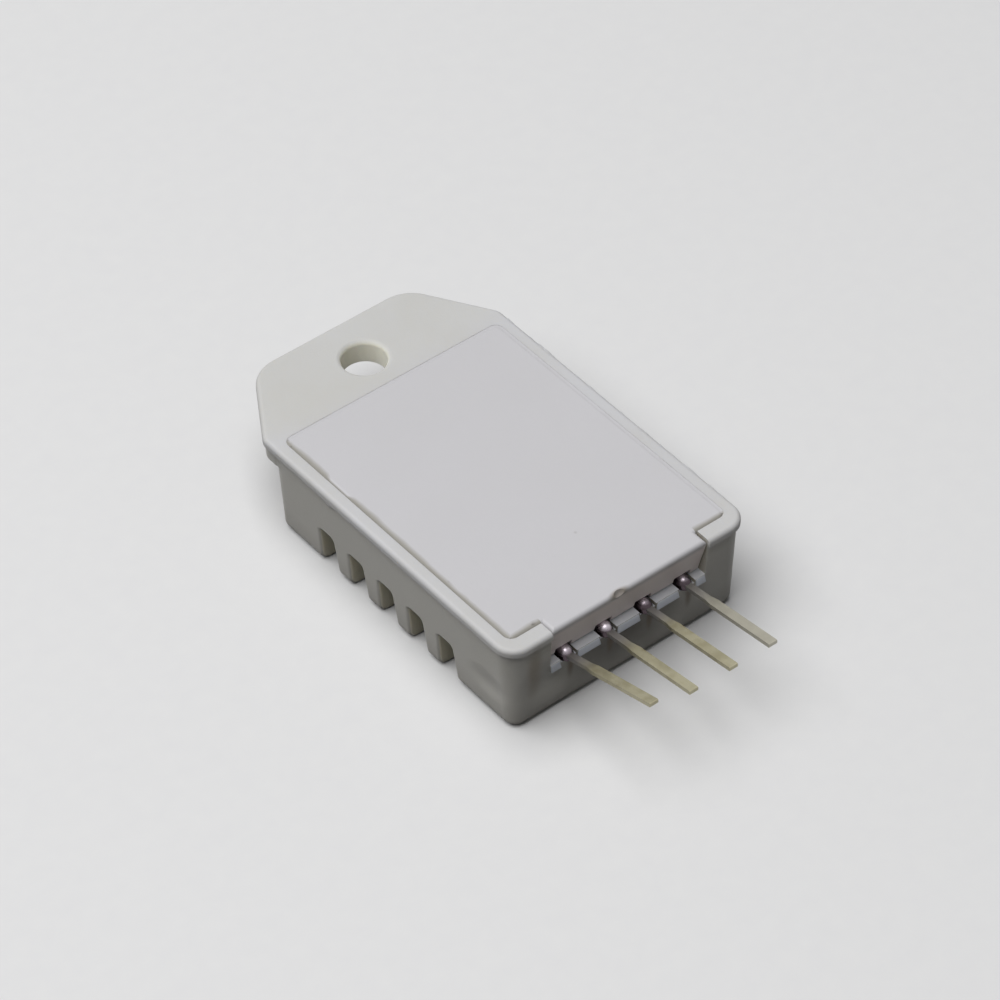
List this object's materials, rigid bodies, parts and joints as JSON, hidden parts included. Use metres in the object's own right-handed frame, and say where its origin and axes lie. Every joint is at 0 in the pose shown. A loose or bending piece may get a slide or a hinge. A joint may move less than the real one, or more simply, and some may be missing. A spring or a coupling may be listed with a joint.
{
  "type": "temperature humidity sensor",
  "caption": "Small white boxed sensor with vent slots on one face, a flush back cover, a screw ear with a hole and a row of flat pins at the other end.",
  "frame": {"origin": "middle of the whole part's footprint, on the vent face", "axes": "+Z towards the back cover, +Y towards the screw ear, pins leave towards -Y"},
  "size_m": [0.0154, 0.0308, 0.0059],
  "materials": {
    "case": "white moulded plastic, satin",
    "cover": "white moulded plastic, satin",
    "board": "green lacquered board",
    "pin": "tinned strip, dull",
    "solder": "bright solder",
    "ceramic": "white ceramic",
    "electrode": "dark printed film",
    "wire": "tinned wire",
    "bead": "dark glazed bead",
    "chip": "black moulded package",
    "lead": "tinned lead",
    "capacitor": "tan ceramic",
    "resistor": "black glazed film",
    "end_cap": "tinned end"
  },
  "bodies": {
    "root": {"sensor_housing": "case", "back_cover": "cover", "circuit_board": "board", "supply_pin": "pin", "data_pin": "pin", "spare_pin": "pin", "ground_pin": "pin", "supply_pin_solder": "solder", "data_pin_solder": "solder", "spare_pin_solder": "solder", "ground_pin_solder": "solder", "humidity_element": "ceramic", "humidity_electrodes": "electrode", "humidity_legs": "wire", "thermistor_bead": "bead", "thermistor_leads": "wire", "wire_solder": "solder", "controller_chip": "chip", "controller_chip_leads": "lead", "decoupling_capacitor": "capacitor", "decoupling_capacitor_ends": "end_cap", "pull_up_resistor": "resistor", "pull_up_resistor_ends": "end_cap", "series_resistor": "resistor", "series_resistor_ends": "end_cap"}
  },
  "joints": []
}
